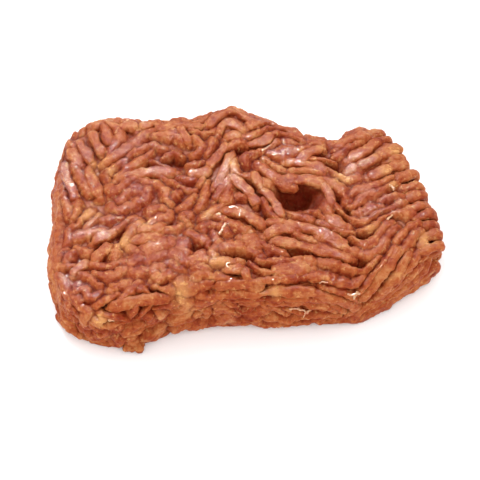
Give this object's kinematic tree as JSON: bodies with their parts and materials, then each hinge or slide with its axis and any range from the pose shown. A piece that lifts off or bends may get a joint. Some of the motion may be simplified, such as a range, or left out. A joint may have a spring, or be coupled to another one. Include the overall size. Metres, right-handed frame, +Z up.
{
  "type": "block of raw minced meat",
  "caption": "Flattish block of raw coarse minced meat, as it lies out of its pack: rows of soft strands, combed to a fan of folds at one end.",
  "frame": {"origin": "under the middle of the block's box, on the surface that it lies on", "axes": "+X along the block towards the end with the folded strands, +Y to its back, +Z up"},
  "size_m": [0.192, 0.1192, 0.0423],
  "materials": {
    "meat": "raw minced meat: moist, softly glossy pink-brown strands with pale fat specks and dark grooves"
  },
  "bodies": {
    "root": {"mince_block": "meat"}
  },
  "joints": []
}
